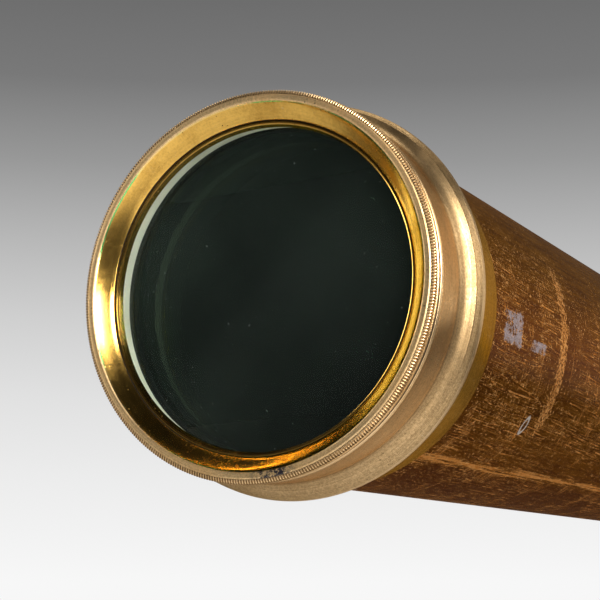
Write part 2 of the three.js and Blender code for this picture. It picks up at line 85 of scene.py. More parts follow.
# ---------------------------------------------------------------- node materials
class Shader:
    """A Principled material and short ways to wire its procedural nodes."""

    def __init__(self, name):
        self.material = bpy.data.materials.new(name)
        self.material.use_nodes = True
        self.nodes = self.material.node_tree.nodes
        self.links = self.material.node_tree.links
        self.bsdf = self.nodes["Principled BSDF"]
        coordinates = self.nodes.new("ShaderNodeTexCoord")
        self.point = coordinates.outputs["Object"]

    def plug(self, socket, value):
        if isinstance(value, bpy.types.NodeSocket):
            self.links.new(value, socket)
        else:
            socket.default_value = value

    def set(self, **values):
        for name, value in values.items():
            self.plug(self.bsdf.inputs[name.replace("_", " ")], value)

    def math(self, operation, a, b=0.0, c=0.0, clamp=False):
        node = self.nodes.new("ShaderNodeMath")
        node.operation = operation
        node.use_clamp = clamp
        for socket, value in zip(node.inputs, (a, b, c)):
            self.plug(socket, value)
        return node.outputs[0]

    def band(self, value, low, high, to_low=0.0, to_high=1.0):
        """value mapped smoothly from low..high to to_low..to_high."""
        node = self.nodes.new("ShaderNodeMapRange")
        node.interpolation_type = "SMOOTHSTEP"
        for socket, number in zip(node.inputs, (value, low, high, to_low, to_high)):
            self.plug(socket, number)
        return node.outputs[0]

    def near(self, value, middle, half, soft):
        """1 where value is within half of middle, easing to 0 over soft beyond that."""
        away = self.math("ABSOLUTE", self.math("SUBTRACT", value, middle))
        return self.band(away, half, half + soft, 1.0, 0.0)

    def times(self, *values):
        product = values[0]
        for value in values[1:]:
            product = self.math("MULTIPLY", product, value)
        return product

    def plus(self, *values):
        total = values[0]
        for value in values[1:]:
            total = self.math("ADD", total, value)
        return total

    def mix(self, factor, a, b):
        node = self.nodes.new("ShaderNodeMix")
        node.data_type = "RGBA"
        self.plug(node.inputs[0], factor)
        for socket, value in zip(node.inputs[6:8], (a, b)):
            self.plug(socket, value)
        return node.outputs[2]

    def vector(self, x, y, z):
        node = self.nodes.new("ShaderNodeCombineXYZ")
        for socket, value in zip(node.inputs, (x, y, z)):
            self.plug(socket, value)
        return node.outputs[0]

    def split(self):
        """The point's s, and its y and z from the optical axis, all in millimetres."""
        node = self.nodes.new("ShaderNodeSeparateXYZ")
        self.links.new(self.point, node.inputs[0])
        s = self.math("MULTIPLY", self.math("SUBTRACT", node.outputs[0], S_ORIGIN), 1 / MM)
        y = self.math("MULTIPLY", self.math("SUBTRACT", node.outputs[1], AXIS.y), 1 / MM)
        z = self.math("MULTIPLY", self.math("SUBTRACT", node.outputs[2], AXIS.z), 1 / MM)
        return s, y, z

    def turn(self, y, z):
        """The angle round the axis in degrees, from straight up towards -Y."""
        return self.math("MULTIPLY", self.math("ARCTAN2", self.math("MULTIPLY", y, -1.0), z), 180 / math.pi)

    def noise(self, vector, scale=1.0, detail=3.0, rough=0.55):
        node = self.nodes.new("ShaderNodeTexNoise")
        self.links.new(vector, node.inputs["Vector"])
        node.inputs["Scale"].default_value = scale
        node.inputs["Detail"].default_value = detail
        node.inputs["Roughness"].default_value = rough
        return node.outputs[0]

    def cells(self, vector, scale=1.0):
        """The distance to the nearest of many scattered points."""
        node = self.nodes.new("ShaderNodeTexVoronoi")
        self.links.new(vector, node.inputs["Vector"])
        node.inputs["Scale"].default_value = scale
        return node.outputs["Distance"]

    def bump(self, height, strength, distance_mm, under=None):
        node = self.nodes.new("ShaderNodeBump")
        node.inputs["Strength"].default_value = strength
        node.inputs["Distance"].default_value = distance_mm * MM
        self.links.new(height, node.inputs["Height"])
        if under:
            self.links.new(under, node.inputs["Normal"])
        return node.outputs[0]


def rgb(r, g, b):
    return (r, g, b, 1.0)


DIRT = rgb(0.05, 0.03, 0.015)


def brass(name, bright, dull, rough, lines=0.3, tarnish=0.5, pits=0.15, across=False, stain_phi=None,
          tint=None, grazing=rgb(1.0, 0.86, 0.66)):
    """Turned brass: fine tool lines round the axis, cloudy lacquer, pits and stray scratches."""
    m = Shader(name)
    s, y, z = m.split()
    place = m.vector(s, y, z)
    r = m.math("SQRT", m.plus(m.times(y, y), m.times(z, z)))
    along = y if across else m.plus(s, r)
    slow_z, slow_s = m.times(z, 0.02), m.times(s, 0.02)
    fine = m.noise(m.vector(m.times(along, 9.0), slow_z, slow_s), 1.0, 4.0, 0.7)
    broad = m.noise(m.vector(m.times(along, 1.3), slow_z, slow_s), 1.0, 2.0)
    cloud = m.noise(place, 0.055, 5.0, 0.62)
    grain = m.noise(place, 1.6, 4.0, 0.7)
    sand = m.noise(place, 1.7, 4.0, 0.85)

    stain = m.band(m.plus(m.times(cloud, 0.75), m.times(grain, 0.25)), 0.42, 0.66)
    color = m.mix(m.times(stain, tarnish), bright, dull)
    texture = m.band(m.plus(m.times(fine, 0.5), m.times(sand, 0.5)), 0.40, 0.60, -0.5, 0.5)
    shade = m.plus(texture, m.band(broad, 0.35, 0.65, -0.12, 0.12))
    darker = m.mix(0.5, dull, DIRT)
    color = m.mix(m.math("MULTIPLY", m.math("SUBTRACT", 0.5, shade), lines, clamp=True), color, darker)
    pit = m.band(m.cells(place, 0.8), 0.1, 0.19, 1.0, 0.0)
    pit = m.times(pit, m.band(m.noise(place, 0.21, 2.0), 0.5, 0.62))
    color = m.mix(m.times(pit, pits), color, DIRT)
    if stain_phi is not None:
        spill = m.near(m.turn(y, z), stain_phi, 3.0, 6.0)
        spill = m.times(spill, m.band(m.noise(place, 0.8, 4.0, 0.75), 0.46, 0.54))
        color = m.mix(m.times(spill, 0.95), color, rgb(0.02, 0.025, 0.05))
    if tint is not None:
        color = m.mix(m.band(m.noise(place, 0.045, 3.0), 0.46, 0.56), color, tint)
    scratch = m.near(m.noise(m.vector(m.times(s, 0.16), m.times(y, 0.9), z), 0.35, 1.5), 0.5, 0.0012, 0.004)
    scratch = m.times(scratch, m.band(grain, 0.5, 0.6))
    color = m.mix(m.times(scratch, 0.35), color, rgb(0.95, 0.78, 0.5))

    rough_now = m.plus(rough, m.times(stain, 0.16), m.times(shade, -0.12, lines))
    rough_now = m.math("ADD", rough_now, m.times(pit, 0.25), clamp=True)
    relief = m.plus(m.times(fine, lines), m.times(pit, -0.8), m.times(sand, lines))
    m.set(Base_Color=color, Metallic=1.0, Roughness=rough_now, Specular_Tint=grazing)
    m.set(Normal=m.bump(relief, 0.35, 0.05))
    return m.material


def bronzed_tube(name="bronzed tube"):
    """Dark bronzing and lacquer over brass, rubbed through in scratches, specks and a few bare patches;
    painted shade darkens its underside, a painted highlight streak runs low on its near side and a painted
    glint rings a nick.
    """
    m = Shader(name)
    s, y, z = m.split()
    phi = m.turn(y, z)
    side_of_top = m.math("ABSOLUTE", phi)
    arc = m.times(phi, math.radians(1) * TUBE_R)
    place = m.vector(s, y, z)

    def streaks(angle, across, along, width, seed):
        """Thin scratches that run at an angle to the tube, in degrees."""
        c, d = math.cos(math.radians(angle)), math.sin(math.radians(angle))
        u = m.plus(m.times(s, c), m.times(arc, d))
        v = m.math("SUBTRACT", m.times(arc, c), m.times(s, d))
        field = m.noise(m.vector(m.times(u, along), m.times(v, across), seed), 1.0, 1.0)
        return m.near(field, 0.5, width * 0.3, width)

    def patch(middle_s, half_s, middle_phi, half_phi):
        """A ragged spot where the lacquer has gone."""
        inside = m.times(m.near(s, middle_s, half_s, half_s), m.near(phi, middle_phi, half_phi, half_phi))
        return m.band(m.times(inside, m.noise(place, 0.42, 5.0, 0.9)), 0.43, 0.52)

    front_wear = m.band(s, 45.0, 170.0, 1.0, 0.42)
    patchy = m.noise(place, 0.03, 5.0, 0.7)
    grain = m.noise(place, 1.1, 5.0, 0.75)
    drawn_out = m.vector(m.times(s, 0.035), m.times(y, 0.9), m.times(z, 0.9))
    lengthwise = m.noise(drawn_out, 1.0, 5.0, 0.7)

    hair = m.times(streaks(2, 1.3, 0.035, 0.020, 3.1), m.band(patchy, 0.28, 0.6))
    dashes = m.times(streaks(-3, 1.7, 0.16, 0.026, 9.4), m.band(grain, 0.50, 0.60))
    diagonal = m.times(streaks(64, 0.5, 0.05, 0.008, 7.7), m.band(patchy, 0.5, 0.62))
    crossing = m.times(streaks(-38, 0.6, 0.06, 0.008, 11.3), m.band(grain, 0.45, 0.6))
    ring = m.times(streaks(88, 1.4, 0.04, 0.02, 5.2), m.band(m.noise(place, 0.13, 3.0), 0.5, 0.62))
    specks = m.times(m.band(grain, 0.56, 0.66), m.band(patchy, 0.2, 0.75))
    wear_and_highlight = m.plus(m.times(specks, 0.8), m.times(m.band(lengthwise, 0.55, 0.72), 0.55))
    wear_and_highlight = m.plus(m.times(wear_and_highlight, front_wear), m.times(dashes, front_wear, 0.9))
    for mark in (hair, diagonal, crossing, ring):
        wear_and_highlight = m.plus(wear_and_highlight, m.times(mark, 0.7))

    curved_rub = m.times(m.near(s, 98.0, 1.6, 2.6), m.near(phi, 97.0, 22.0, 18.0), m.band(grain, 0.42, 0.55))
    # painted highlight: a copper streak low on the near side, about 148 degrees round from the top, mixed in
    # with the wear
    painted_highlight_streak = m.times(m.near(phi, 148.0, 0.6, 2.6), m.band(lengthwise, 0.36, 0.6))
    wear_and_highlight = m.math("ADD", wear_and_highlight, m.times(m.plus(curved_rub, painted_highlight_streak), 0.9), clamp=True)
    wear_and_highlight = m.band(m.times(wear_and_highlight, m.band(side_of_top, 58.0, 90.0, 0.5, 1.0)), 0.3, 0.66)

    dark = m.mix(m.band(patchy, 0.3, 0.7), rgb(0.200, 0.083, 0.011), rgb(0.250, 0.110, 0.015))
    dark = m.mix(m.band(lengthwise, 0.40, 0.66, 0.0, 0.7), dark, rgb(0.060, 0.024, 0.005))
    # painted shade: the tube's underside, from about 146 degrees round from the top, is darkened
    dark = m.mix(m.band(side_of_top, 146.0, 156.0, 0.0, 0.6), dark, rgb(0.085, 0.036, 0.014))
    copper = m.mix(m.band(grain, 0.4, 0.7), rgb(0.85, 0.34, 0.08), rgb(1.0, 0.60, 0.26))
    bare = m.math("MAXIMUM", patch(57.0, 5.5, 97.0, 4.5), patch(77.0, 5.0, 100.0, 1.6))
    color = m.mix(m.times(bare, 0.9), m.mix(wear_and_highlight, dark, copper), rgb(0.40, 0.35, 0.37))

    du = m.math("DIVIDE", m.math("SUBTRACT", s, 88.0), 1.5)
    dv = m.math("DIVIDE", m.math("SUBTRACT", phi, 127.0), 3.2)
    nick = m.math("SQRT", m.plus(m.times(du, du), m.times(dv, dv)))
    # painted glint: the rim of a small nick is painted near white
    glinting_lip = m.near(nick, 1.0, 0.12, 0.25)
    color = m.mix(glinting_lip, color, rgb(0.95, 0.90, 0.84))

    rough = m.plus(0.36, m.times(m.band(grain, 0.3, 0.7), 0.12), m.times(bare, 0.2))
    m.set(Base_Color=color, Metallic=1.0, Roughness=rough, Specular_Tint=rgb(0.58, 0.33, 0.16))
    m.set(Coat_Weight=0.05, Coat_Roughness=0.22)
    relief = m.math("SUBTRACT", m.times(grain, 0.25), m.times(wear_and_highlight, 0.6))
    m.set(Normal=m.bump(m.plus(relief, m.times(glinting_lip, 1.5)), 0.3, 0.08))
    return m.material


def blackened(name, tone, rough):
    """Matt optical black with dust."""
    m = Shader(name)
    s, y, z = m.split()
    place = m.vector(s, y, z)
    dust = m.band(m.noise(place, 0.9, 5.0, 0.7), 0.6, 0.75)
    m.set(Base_Color=m.mix(m.times(dust, 0.25), tone, rgb(0.05, 0.048, 0.045)), Roughness=rough)
    m.set(Specular_IOR_Level=0.25, Normal=m.bump(dust, 0.3, 0.05))
    return m.material


def steel(name="blued steel"):
    m = Shader(name)
    s, y, z = m.split()
    place = m.vector(s, y, z)
    cloud = m.noise(place, 0.6, 4.0)
    fine = m.noise(m.vector(m.times(s, 6.0), y, m.times(z, 0.3)), 1.0, 3.0)
    color = m.mix(m.band(cloud, 0.35, 0.65), rgb(0.20, 0.20, 0.23), rgb(0.36, 0.34, 0.33))
    m.set(Base_Color=color, Metallic=1.0)
    m.set(Roughness=m.band(fine, 0.3, 0.7, 0.22, 0.42), Normal=m.bump(fine, 0.2, 0.03))
    return m.material


def optical_glass(name="optical glass"):
    """Clear glass with a faint haze and dust on its surface."""
    m = Shader(name)
    s, y, z = m.split()
    place = m.vector(s, y, z)
    specks = m.band(m.cells(place, 0.55), 0.04, 0.08, 1.0, 0.0)
    specks = m.times(specks, m.band(m.noise(place, 0.7, 2.0), 0.52, 0.6))
    haze = m.band(m.noise(place, 0.03, 4.0, 0.6), 0.3, 0.8, 0.002, 0.009)
    m.set(Base_Color=rgb(0.82, 1.0, 0.88), Roughness=0.0, IOR=1.5)
    m.set(Transmission_Weight=m.math("SUBTRACT", 1.0, m.plus(m.times(specks, 0.6), haze)))
    return m.material


def ground_glass(name="ground glass edge"):
    m = Shader(name)
    s, y, z = m.split()
    grain = m.noise(m.vector(s, y, z), 2.5, 4.0, 0.7)
    m.set(Base_Color=m.mix(grain, rgb(1.0, 0.86, 0.72), rgb(1.0, 0.94, 0.82)), Roughness=0.75)
    m.set(Normal=m.bump(grain, 0.4, 0.05))
    return m.material


MATERIALS = {
    "turned": brass("turned brass", rgb(0.82, 0.51, 0.24), rgb(0.46, 0.25, 0.085), 0.26,
                    lines=0.5, tarnish=0.7, pits=0.6),
    "satin": brass("satin brass", rgb(0.62, 0.41, 0.20), rgb(0.40, 0.25, 0.105), 0.32,
                   lines=0.85, tarnish=0.6, pits=0.5),
    "face": brass("matt brass face", rgb(0.98, 0.70, 0.36), rgb(0.66, 0.40, 0.16), 0.48,
                  lines=0.7, tarnish=0.6, pits=1.0, stain_phi=172.0),
    "bezel": brass("bright bezel", rgb(0.84, 0.50, 0.11), rgb(0.42, 0.22, 0.035), 0.14,
                   lines=0.25, tarnish=0.8, pits=0.6, grazing=rgb(0.85, 0.58, 0.20)),
    "rim": brass("green lacquer rim", rgb(0.90, 0.62, 0.22), rgb(0.70, 0.45, 0.12), 0.16,
                 lines=0.2, tint=rgb(0.18, 0.55, 0.16)),
    "milled": brass("milled brass", rgb(0.88, 0.60, 0.32), rgb(0.50, 0.30, 0.11), 0.28,
                    lines=0.2, tarnish=0.5, pits=0.3),
    # darker brass laid on the faces beside each valley of the milling
    "valley_dark": brass("darker brass in the milling valleys", rgb(0.26, 0.15, 0.06), rgb(0.12, 0.065, 0.025), 0.45,
                   lines=0.1, tarnish=0.6),
    "skirt": brass("amber lacquer", rgb(0.68, 0.38, 0.10), rgb(0.42, 0.21, 0.045), 0.34,
                   lines=0.7, tarnish=0.7, pits=0.5, grazing=rgb(0.62, 0.36, 0.12)),
    "bright": brass("drawn bright brass", rgb(0.84, 0.57, 0.22), rgb(0.60, 0.37, 0.12), 0.16,
                    lines=0.3, tarnish=0.6),
    "across": brass("brass turned across", rgb(0.68, 0.47, 0.21), rgb(0.42, 0.26, 0.10), 0.28,
                    lines=0.4, across=True),
    "shoe": brass("filed brass", rgb(0.62, 0.43, 0.19), rgb(0.42, 0.27, 0.10), 0.34,
                  lines=0.25, tarnish=0.7, pits=0.5),
    "bronzed": bronzed_tube(),
    "black": blackened("optical black", rgb(0.010, 0.010, 0.010), 0.8),
    "steel": steel(),
    "glass": optical_glass(),
    "ground": ground_glass(),
}
SLOT_LOOK = {
    "lacquered_brass": "turned",
    "polished_brass": "bright",
    "bronzed_tube": "bronzed",
    "blackened_brass": "black",
    "steel": "steel",
    "glass": "glass",
}


# ---------------------------------------------------------------- meshes
def eased(outline, size, corner=18.0):
    """The closed outline with each sharp corner rounded.

    Its entries are (s, r, look of the stretch that follows).
    """
    result = []
    count = len(outline)
    for i, (s, r, look) in enumerate(outline):
        here = Vector((s, r))
        before = Vector(outline[i - 1][:2]) - here
        after = Vector(outline[(i + 1) % count][:2]) - here
        plain = r < TINY or before.length < TINY or after.length < TINY
        if plain or 180 - math.degrees(before.angle(after)) < corner:
            result.append((s, r, look))
            continue
        back = min(size, before.length * 0.4)
        forth = min(size, after.length * 0.4)
        start = here + before.normalized() * back
        end = here + after.normalized() * forth
        for t in (0.0, 0.5, 1.0):
            p = start * (1 - t) ** 2 + here * 2 * t * (1 - t) + end * t * t
            result.append((p.x, p.y, outline[i - 1][2] if t == 0.0 else look))
    return result


def along_x(s, r, angle):
    return Vector((S_ORIGIN + s * MM, AXIS.y - r * MM * math.sin(angle), AXIS.z + r * MM * math.cos(angle)))


def revolve(outline, segments, place=along_x, ridges=0, depth=0.0, slant=0.0, sweep=None):
    """Vertices, faces and face looks of a closed outline turned about its axis.

    Ridges mill the radius, all but its foot, which is the outline's first r. A sweep, (start, end) in
    degrees, turns it only part of the way and closes its ends.
    """
    columns = ridges * 4 if ridges else segments
    first_s = min(p[0] for p in outline)
    foot = outline[0][1] + 0.05
    start, end = (math.radians(a) for a in sweep or (0, 360))
    vertices = []
    for column in range(columns + 1 if sweep else columns):
        angle = start + (end - start) * column / columns
        for s, r, _ in outline:
            drop = 0.0
            if ridges and r > foot:
                turn_of_ridge = angle * ridges / (2 * math.pi) + slant * (s - first_s)
                drop = depth * (0.5 + 0.5 * math.cos(2 * math.pi * turn_of_ridge))
            vertices.append(place(s, r - drop, angle))
    rows = len(outline)
    faces, looks = [], []
    if sweep:
        faces = [tuple(range(rows)), tuple(columns * rows + row for row in range(rows))]
        looks = [outline[0][2]] * 2
    for column in range(columns):
        following = column + 1 if sweep else (column + 1) % columns
        for row in range(rows):
            after = (row + 1) % rows
            if outline[row][1] < TINY and outline[after][1] < TINY:
                continue
            here, there = column * rows, following * rows
            faces.append((here + row, there + row, there + after, here + after))
            # the faces on either side of each ridge's valley take the darker valley brass
            looks.append("valley_dark" if ridges and column % 4 in (0, 3) else outline[row][2])
    return vertices, faces, looks


def prism(front, rear):
    """Vertices and faces of a solid between two like rings of points."""
    rows = len(front)
    faces = [tuple(range(rows)), tuple(range(rows, 2 * rows))]
    faces += [(i, (i + 1) % rows, rows + (i + 1) % rows, rows + i) for i in range(rows)]
    return [*front, *rear], faces


def smooth(mesh):
    mesh.shade_smooth()
    mesh.set_sharp_from_angle(angle=math.radians(SHARP))


def build(name, parts, body, nodes):
    """One object from several (vertices, faces, looks), in place of some CAD nodes."""
    looks_used = []
    name = name.replace(" ", "-")
    mesh = bpy.data.meshes.new(name)
    work = bmesh.new()
    for vertices, faces, looks in parts:
        made = [work.verts.new(v) for v in vertices]
        for face, look in zip(faces, looks):
            if look not in looks_used:
                looks_used.append(look)
            new = work.faces.new([made[i] for i in face])
            new.material_index = looks_used.index(look)
    bmesh.ops.remove_doubles(work, verts=work.verts, dist=1e-7)
    bmesh.ops.recalc_face_normals(work, faces=work.faces)
    work.to_mesh(mesh)
    work.free()
    smooth(mesh)
    for look in looks_used:
        mesh.materials.append(MATERIALS[look])
    piece = bpy.data.objects.new(name, mesh)
    bpy.context.scene.collection.objects.link(piece)
    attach(piece, body)
    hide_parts(*nodes)
    return piece


def outline_of(*runs):
    """Joins (look, [(s, r), ...]) runs into one closed outline."""
    return [(s, r, look) for look, points in runs for s, r in points]


def turned(name, body, outline, nodes, segments=192, ease=0.18, place=along_x, extra=()):
    shape = revolve(eased(outline, ease), segments, place)
    return build(name, [shape, *extra], body, nodes)


def pipe(name, body, look, bore, size, segments=192, ease=0.15):
    """A plain tube, blackened inside, over the length of its CAD node."""
    node = name.replace(" ", "_")
    front, rear = station(node, 0), station(node, 1)
    outline = outline_of(
        ("black", [(front, bore)]),
        (look, [(front, size), (rear, size)]),
        ("black", [(rear, bore)]),
    )
    return turned(name, body, outline, [node], segments, ease)


def milled_rim(front, rear, foot, crest, ridges, depth, place=along_x):
    """A band of milling with chamfered edges."""
    points = [(front, foot), (front, crest - 0.3), (front + 0.4, crest),
              (rear - 0.4, crest), (rear, crest - 0.3), (rear, foot)]
    return revolve(eased(outline_of(("milled", points)), 0.1), 0, place, ridges=ridges, depth=depth)


# ---------------------------------------------------------------- the objective end
def objective():
    seat = radius("crown_lens") + 0.4
    bezel = [(0.0, 43.38), (0.4, 43.05), (1.05, 42.35), (1.7, 41.6), (2.3, 40.85), (2.8, 40.25), (3.1, seat)]
    cell = outline_of(
        ("rim", [(-0.3, 43.6)]),
        ("bezel", bezel),
        ("black", [(3.15, seat), (21.1, seat), (21.1, 38.4), (22.6, 38.4), (22.6, 42.6)]),
        ("turned", [(3.7, 42.6), (3.7, 45.3), (3.35, 45.45), (3.0, 45.5)]),
        ("turned", [(2.8, 46.0), (2.5, 46.2), (2.0, 46.2), (1.75, 45.95), (1.6, 45.55), (0.0, 45.45)]),
        ("face", [(-0.3, 45.3), (-0.6, 44.95), (-0.6, 43.95), (-0.45, 43.7)]),
    )
    band = eased(outline_of(("milled", [
        (-0.35, 44.95), (-0.38, 45.5), (-0.15, 46.05), (0.2, CREST_R),
        (1.0, CREST_R), (1.4, 46.15), (1.55, 45.7), (1.55, 44.95),
    ])), 0.06)
    milling = revolve(band, 0, ridges=MILLED_RIDGES, depth=0.42, slant=0.3)
    turned("objective cell", "body", cell, ["objective_cell"], 256, 0.06, extra=[milling])

    ring = outline_of(("bezel", [
        (3.35, 39.85), (3.35, 39.35), (3.75, 39.3), (3.85, 39.0), (4.3, 38.95),
        (5.1, APERTURE_R), (5.3, APERTURE_R), (5.3, 39.85),
    ]))
    turned("lens retaining ring", "body", ring, ["lens_retaining_ring"], 256, 0.05)
    lens("crown lens", "body", "crown_lens", 1.7, 2.3)
    lens("flint lens", "body", "flint_lens", -2.3, -0.5, edge="black")

    collar = outline_of(
        ("black", [(22.9, 42.9), (4, 42.9)]),
        ("milled", [(3.95, 45.75), (4.1, 45.95), (4.4, 46.0), (4.65, 45.9), (4.75, 45.8)]),
        ("turned", [(4.95, 45.9), (5.0, 45.95), (6.2, 45.9), (6.35, 45.75), (6.5, 45.3), (6.8, 45.2)]),
        # satin brass, a darker finish, lies on the cove and the bead's rear half partly as painted shade; the
        # brighter milled brass on the crest is partly a painted highlight line
        ("satin", [(16.2, 45.2), (17.4, 45.45), (18.6, 46.1), (19.5, 47.0), (19.95, 47.8)]),
        ("satin", [(20.15, 48.05), (20.45, 48.1), (21.0, 48.5)]),
        ("milled", [(21.9, 48.95), (23, 49.1)]),
        ("satin", [(24.0, 48.85), (24.7, 48.3), (25.3, 47.2), (25.6, 46.2), (25.8, 45.2)]),
        ("black", [(25.8, 42.65), (44, 42.65), (44, 41.2), (22.9, 41.2)]),
    )
    turned("objective collar", "body", collar, ["objective_collar"], 256, 0.08)


def lens(name, body, node, front_bulge, rear_bulge, edge="ground"):
    """A lens in a CAD lens's box. A bulge is how far a face's middle stands out from its edge."""
    front, rear = station(node, 0), station(node, 1)
    size = radius(node)
    front_edge = front + max(front_bulge, 0.0)
    rear_edge = rear - max(rear_bulge, 0.0)
    steps = 10
    faces = []
    for i in range(steps + 1):
        r = size * i / steps
        faces.append((front_edge - front_bulge * (1 - (r / size) ** 2), r, "glass" if i < steps else edge))
    for i in range(steps, -1, -1):
        r = size * i / steps
        faces.append((rear_edge + rear_bulge * (1 - (r / size) ** 2), r, "glass"))
    return turned(name, body, faces, [node], 128, 0.0)


def body_tube():
    front, rear = station("main_tube", 0), station("main_tube", 1)
    band, bore = 44.8, TUBE_R - 1.5
    outline = outline_of(
        ("black", [(front, bore)]),
        ("skirt", [(front, band), (front + 16.6, band)]),
        ("bronzed", [(front + 16.62, TUBE_R), (rear - 16.62, TUBE_R)]),
        ("skirt", [(rear - 16.6, band), (rear, band)]),
        ("black", [(rear, bore)]),
    )
    turned("body tube", "body", outline, ["main_tube"], 256, 0.05)


def cut(piece, *cutters, bevel=0.0):
    """Cuts other objects out of a piece, rounds its sharp edges if asked, and removes the cutters."""
    for cutter in cutters:
        modifier = piece.modifiers.new("cut", "BOOLEAN")
        modifier.operation = "DIFFERENCE"
        modifier.solver = "EXACT"
        modifier.object = cutter
    if bevel:
        modifier = piece.modifiers.new("bevel", "BEVEL")
        modifier.width = bevel * MM
        modifier.segments = 2
        modifier.limit_method = "ANGLE"
        modifier.angle_limit = math.radians(40)
    bpy.context.view_layer.update()
    evaluated = piece.evaluated_get(bpy.context.evaluated_depsgraph_get())
    mesh = bpy.data.meshes.new_from_object(evaluated)
    piece.modifiers.clear()
    piece.data = mesh
    smooth(mesh)
    for cutter in cutters:
        bpy.data.objects.remove(cutter)
    return piece


def box_cutter(center, size, turn=(0, 0, 0)):
    bpy.ops.mesh.primitive_cube_add(size=1, location=center, rotation=turn)
    made = bpy.context.object
    made.scale = size
    bpy.context.view_layer.update()
    return made


def round_cutter(center, r, length, direction):
    turn = Vector((0, 0, 1)).rotation_difference(Vector(direction)).to_euler()
    bpy.ops.mesh.primitive_cylinder_add(
        vertices=64, radius=r * MM, depth=length * MM, location=center, rotation=turn)
    bpy.context.view_layer.update()
    return bpy.context.object


def at(s, y, z):
    """A point s along the axis and y, z from it, in millimetres."""
    return Vector((S_ORIGIN + s * MM, AXIS.y + y * MM, AXIS.z + z * MM))


def middle(node):
    low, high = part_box(node)
    return (low + high) / 2


def bar_along_x(name, body, slot, node, section, look, *cutters, bevel=0.5):
    """A piece with the same (y, z) section, in millimetres from the axis, over the length of its CAD node."""
    vertices, faces = prism(*([at(station(node, end), y, z) for y, z in section] for end in (0, 1)))
    piece = build(name, [(vertices, faces, [look] * len(faces))], body, [node])
    return cut(piece, *cutters, bevel=bevel)


def saddle_arc(r, half_width, steps=24):
    """The underside of a circle round the axis, from +y to -y, as (y, z) points."""
    reach = math.asin(half_width / r)
    angles = [reach - 2 * reach * i / steps for i in range(steps + 1)]
    return [(r * math.sin(a), -r * math.cos(a)) for a in angles]


def mount():
    """The curved saddle under the tube and the dovetail shoe below it."""
    front, rear = station("saddle_plate", 0), station("saddle_plate", 1)
    inner, outer = TUBE_R + GAP, TUBE_R + GAP + 3
    plate = outline_of(("turned", [(front, inner), (front, outer), (rear, outer), (rear, inner)]))
    half_width, neck, base_half = 28, 15, 18
    reach = math.degrees(math.asin(half_width / outer))
    shape = revolve(eased(plate, 0.8), 48, sweep=(180 - reach, 180 + reach))
    build("saddle plate", [shape], "body", ["saddle_plate"])
    base = -AXIS.z / MM
    section = [(-base_half, base), (base_half, base), (base_half, base + 3), (neck, base + 9),
               *saddle_arc(outer + GAP, neck), (-neck, base + 9), (-base_half, base + 3)]
    places = [middle(f"shoe_screw_{i}").x for i in (1, 2)]
    bores = [round_cutter(Vector((x, 0, 0)), 4.3, 12, (0, 0, 1)) for x in places]
    bar_along_x("mounting shoe", "body", "lacquered_brass", "mounting_shoe", section, "shoe", *bores)


def tail():
    """The rear end ring, the cone behind it and the focuser's barrel."""
    end = station("main_tube", 1) + GAP
    collar = outline_of(
        ("black", [(end - 18.4, 41.2), (end - 18.4, 42.65), (end, 42.65)]),
        ("turned", [(end, 45.2), (end + 0.3, 46.8), (end + 1.1, 48.3), (end + 2.0, 48.85), (end + 3.0, 49.1),
                    (end + 4.2, 48.9), (end + 5.2, 48.3), (end + 5.8, 47.6)]),
        ("satin", [(end + 6.2, 46.6), (end + 7.2, 45.9), (end + 8.4, 45.6)]),
        ("turned", [(end + 9.2, 45.6), (end + 9.5, 45.9), (end + 11.4, 45.9), (end + 11.6, 45.6)]),
        ("black", [(end + 11.6, 41.2)]),
    )
    turned("tail collar", "body", collar, ["tail_collar"], 256, 0.1)
    cone_curve = [(733, 43.8), (735.5, 42.2), (738, 40.5), (741, 38.9), (744.5, 37.5), (748, 36.8),
                  (750, 36.6)]
    cone = outline_of(
        ("black", [(716, 39.4), (716, 40.9), (728.3, 40.9)]),
        ("turned", [(728.3, 44.4), (728.6, 44.6), (731, 44.6), (731.4, 44.2)]),
        ("satin", cone_curve),
        ("turned", [(751, 36.6), (751.4, 36.9), (756, 36.9), (756.6, 36.4), (757, 35.8)]),
        ("black", [(757, 33.8), (748.3, 33.8), (748.3, 31.5), (742, 33.6), (732, 38.6)]),
    )
    turned("tail cone", "body", cone, ["tail_cone"], 256, 0.12)
    rear = station("focuser_jacket", 1)
    pinion = middle("pinion_shaft")
    window = box_cutter(Vector((pinion.x, AXIS.y, AXIS.z - 33.5 * MM)), (18 * MM, 18 * MM, 12 * MM))
    cut(pipe("focuser jacket", "body", "turned", 31.5, 33.5, ease=0.2), window)
    ring = outline_of(
        ("turned", [(rear - 8, 33.8), (rear - 8, 35.0), (rear - 7.6, 35.4), (rear - 7.0, 35.5)]),
        ("turned", [(rear - 6.6, 36.1), (rear - 5.6, 36.5), (rear - 3.6, 36.5), (rear - 2.6, 36.1)]),
        ("turned", [(rear - 2.2, 35.4), (rear - 1.6, 35.1), (rear + 2.8, 34.7), (rear + 4.0, 34.2),
                    (rear + 4.5, 33.4)]),
        ("black", [(rear + 4.5, 27.3), (rear + 0.3, 27.3), (rear + 0.3, 33.8)]),
    )
    notch = box_cutter(at(rear + 3, 0, -28.2), (8 * MM, 7.2 * MM, 5.6 * MM))
    cut(turned("jacket end ring", "body", ring, ["jacket_end_ring"], 192, 0.12), notch)


